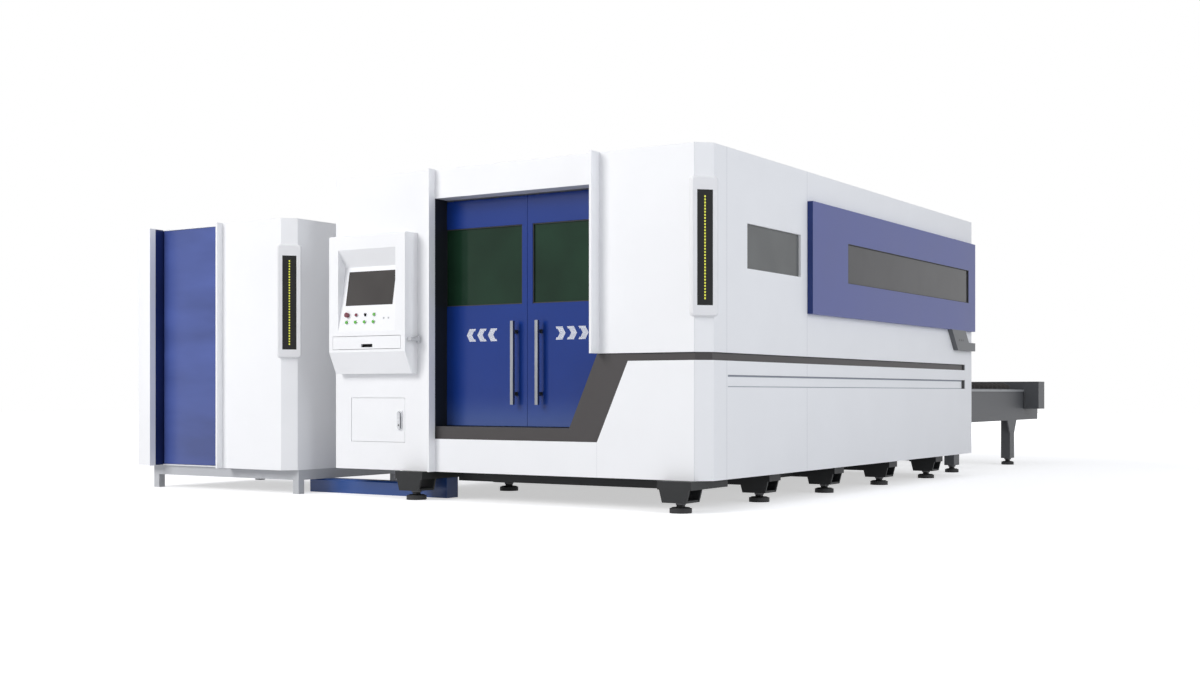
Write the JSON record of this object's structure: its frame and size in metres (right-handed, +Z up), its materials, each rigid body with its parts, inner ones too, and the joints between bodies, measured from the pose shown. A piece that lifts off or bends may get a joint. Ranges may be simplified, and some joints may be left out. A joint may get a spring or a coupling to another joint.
{
  "type": "laser cutting machine",
  "caption": "Enclosed flat-bed laser cutting machine with sliding front doors, an operator's console, an exchange table at the back and a free-standing laser source cabinet.",
  "frame": {"origin": "on the floor, under the middle of the whole set of house, table and cabinet", "axes": "+X to the right of a person at the console, +Y from the front doors to the exchange table, +Z up"},
  "size_m": [4.816, 7.917, 2.19],
  "materials": {
    "machine_bed": "painted welded steel",
    "levelling_feet": "black pads with square screws",
    "guide_rails": "ground steel",
    "enclosure_frame": "painted square tube",
    "front_panel_left": "fine textured powder coat",
    "front_header": "fine textured powder coat",
    "front_panel_right": "fine textured powder coat",
    "front_panel_lower": "fine textured powder coat",
    "corner_cover": "fine textured powder coat",
    "side_panel_front": "fine textured powder coat",
    "side_panel_rear": "fine textured powder coat",
    "side_panel_lower": "fine textured powder coat",
    "left_wall": "fine textured powder coat",
    "rear_wall": "fine textured powder coat",
    "roof_panel": "fine textured powder coat",
    "rear_gate": "satin",
    "dark_trim": "satin dark grey",
    "door_fins": "fine textured powder coat",
    "door_frame": "satin dark",
    "door_track": "plated steel",
    "door_left": "satin blue",
    "door_right": "satin blue",
    "door_left_window": "dark green laser glass",
    "door_right_window": "dark green laser glass",
    "door_left_handle": "satin",
    "door_right_handle": "satin",
    "console_housing": "fine textured powder coat",
    "monitor": "dark glossy screen",
    "emergency_stop": "red",
    "reset_button": "red",
    "mode_selector": "black",
    "start_button": "green",
    "power_button": "green",
    "laser_button": "green",
    "gas_button": "green",
    "light_button": "green",
    "keyboard_drawer": "fine textured powder coat",
    "console_hook": "grey",
    "hatch_door": "fine textured powder coat",
    "hatch_handle": "grey die-cast lever",
    "light_bezels": "white powder coat",
    "light_lenses": "dark lens",
    "side_cowl": "satin blue",
    "side_windows": "tinted pane",
    "cowl_bracket": "dark grey",
    "gantry_beam": "painted beam",
    "x_carriage": "machined plate",
    "cutting_head": "anodised head",
    "pallet_upper": "painted tube",
    "pallet_lower": "painted tube",
    "pallet_upper_slats": "cut steel strip",
    "pallet_lower_slats": "cut steel strip",
    "exchange_table": "painted steel, grey",
    "table_end_guard": "painted steel, grey",
    "cabinet_shell": "fine textured powder coat",
    "cabinet_fins": "fine textured powder coat",
    "cabinet_base": "grey",
    "cabinet_door": "satin blue",
    "laser_source": "painted case",
    "cable_duct": "blue"
  },
  "bodies": {
    "machine": {"machine_bed": "machine_bed", "levelling_feet": "levelling_feet", "guide_rails": "guide_rails", "enclosure_frame": "enclosure_frame", "front_panel_left": "front_panel_left", "front_header": "front_header", "front_panel_right": "front_panel_right", "front_panel_lower": "front_panel_lower", "corner_cover": "corner_cover", "side_panel_front": "side_panel_front", "side_panel_rear": "side_panel_rear", "side_panel_lower": "side_panel_lower", "left_wall": "left_wall", "rear_wall": "rear_wall", "roof_panel": "roof_panel", "dark_trim": "dark_trim", "door_fins": "door_fins", "door_frame": "door_frame", "door_track": "door_track", "console_housing": "console_housing", "monitor": "monitor", "console_hook": "console_hook", "light_bezels": "light_bezels", "light_lenses": "light_lenses", "side_cowl": "side_cowl", "side_windows": "side_windows", "cowl_bracket": "cowl_bracket", "exchange_table": "exchange_table", "table_end_guard": "table_end_guard", "cabinet_shell": "cabinet_shell", "cabinet_fins": "cabinet_fins", "cabinet_base": "cabinet_base", "laser_source": "laser_source", "cable_duct": "cable_duct"},
    "left_leaf": {"door_left": "door_left", "door_left_window": "door_left_window", "door_left_handle": "door_left_handle"},
    "right_leaf": {"door_right": "door_right", "door_right_window": "door_right_window", "door_right_handle": "door_right_handle"},
    "drawer": {"keyboard_drawer": "keyboard_drawer"},
    "hatch": {"hatch_door": "hatch_door"},
    "hatch_lever": {"hatch_handle": "hatch_handle"},
    "gantry": {"gantry_beam": "gantry_beam"},
    "carriage": {"x_carriage": "x_carriage"},
    "head": {"cutting_head": "cutting_head"},
    "upper_pallet": {"pallet_upper": "pallet_upper", "pallet_upper_slats": "pallet_upper_slats"},
    "lower_pallet": {"pallet_lower": "pallet_lower", "pallet_lower_slats": "pallet_lower_slats"},
    "gate": {"rear_gate": "rear_gate"},
    "cabinet_door_body": {"cabinet_door": "cabinet_door"},
    "emergency_stop_body": {"emergency_stop": "emergency_stop"},
    "reset_button_body": {"reset_button": "reset_button"},
    "mode_selector_body": {"mode_selector": "mode_selector"},
    "start_button_body": {"start_button": "start_button"},
    "power_button_body": {"power_button": "power_button"},
    "laser_button_body": {"laser_button": "laser_button"},
    "gas_button_body": {"gas_button": "gas_button"},
    "light_button_body": {"light_button": "light_button"}
  },
  "joints": [
    {"name": "door_left_slide", "type": "slide", "parent": "machine", "child": "left_leaf", "axis": [-1, 0, 0], "range_m": [0, 0.54]},
    {"name": "door_right_slide", "type": "slide", "parent": "machine", "child": "right_leaf", "axis": [1, 0, 0], "range_m": [0, 0.48]},
    {"name": "drawer_slide", "type": "slide", "parent": "machine", "child": "drawer", "axis": [0, -1, 0], "range_m": [0, 0.16]},
    {"name": "emergency_stop_press", "type": "slide", "parent": "machine", "child": "emergency_stop_body", "axis": [0, 0.9859, -0.1673], "range_m": [0, 0.005], "stiffness_N_per_m": 500},
    {"name": "reset_button_press", "type": "slide", "parent": "machine", "child": "reset_button_body", "axis": [0, 0.9859, -0.1673], "range_m": [0, 0.004], "stiffness_N_per_m": 500},
    {"name": "mode_selector_turn", "type": "hinge", "parent": "machine", "child": "mode_selector_body", "pos_m": [-0.182, -3.85954, 1.23772], "axis": [0, -0.9859, 0.1673], "range_deg": [-45, 45]},
    {"name": "start_button_press", "type": "slide", "parent": "machine", "child": "start_button_body", "axis": [0, 0.9859, -0.1673], "range_m": [0, 0.004], "stiffness_N_per_m": 500},
    {"name": "power_button_press", "type": "slide", "parent": "machine", "child": "power_button_body", "axis": [0, 0.9859, -0.1673], "range_m": [0, 0.004], "stiffness_N_per_m": 500},
    {"name": "laser_button_press", "type": "slide", "parent": "machine", "child": "laser_button_body", "axis": [0, 0.9859, -0.1673], "range_m": [0, 0.004], "stiffness_N_per_m": 500},
    {"name": "gas_button_press", "type": "slide", "parent": "machine", "child": "gas_button_body", "axis": [0, 0.9859, -0.1673], "range_m": [0, 0.004], "stiffness_N_per_m": 500},
    {"name": "light_button_press", "type": "slide", "parent": "machine", "child": "light_button_body", "axis": [0, 0.9859, -0.1673], "range_m": [0, 0.004], "stiffness_N_per_m": 500},
    {"name": "hatch_hinge", "type": "hinge", "parent": "machine", "child": "hatch", "pos_m": [-0.401, -3.7455, 0.528], "axis": [0, 0, -1], "range_deg": [0, 100]},
    {"name": "hatch_handle_turn", "type": "hinge", "parent": "hatch", "child": "hatch_lever", "pos_m": [0.03, -3.7575, 0.57], "axis": [0, 1, 0], "range_deg": [0, 90]},
    {"name": "gantry_slide", "type": "slide", "parent": "machine", "child": "gantry", "axis": [0, 1, 0], "range_m": [0, 3.05]},
    {"name": "carriage_slide", "type": "slide", "parent": "gantry", "child": "carriage", "axis": [1, 0, 0], "range_m": [-0.7, 0.7]},
    {"name": "head_slide", "type": "slide", "parent": "carriage", "child": "head", "axis": [0, 0, 1], "range_m": [-0.26, 0]},
    {"name": "pallet_upper_slide", "type": "slide", "parent": "machine", "child": "upper_pallet", "axis": [0, -1, 0], "range_m": [0, 3.65]},
    {"name": "pallet_lower_slide", "type": "slide", "parent": "machine", "child": "lower_pallet", "axis": [0, -1, 0], "range_m": [-3.65, 0]},
    {"name": "rear_gate_slide", "type": "slide", "parent": "machine", "child": "gate", "axis": [0, 0, -1], "range_m": [0, 0.215]},
    {"name": "cabinet_door_hinge", "type": "hinge", "parent": "machine", "child": "cabinet_door_body", "pos_m": [-2.2, -3.8205, 1.052], "axis": [0, 0, -1], "range_deg": [0, 88]}
  ],
  "couplings": [
    {"joint": "pallet_lower_slide", "follows": "pallet_upper_slide", "ratio": -1}
  ]
}
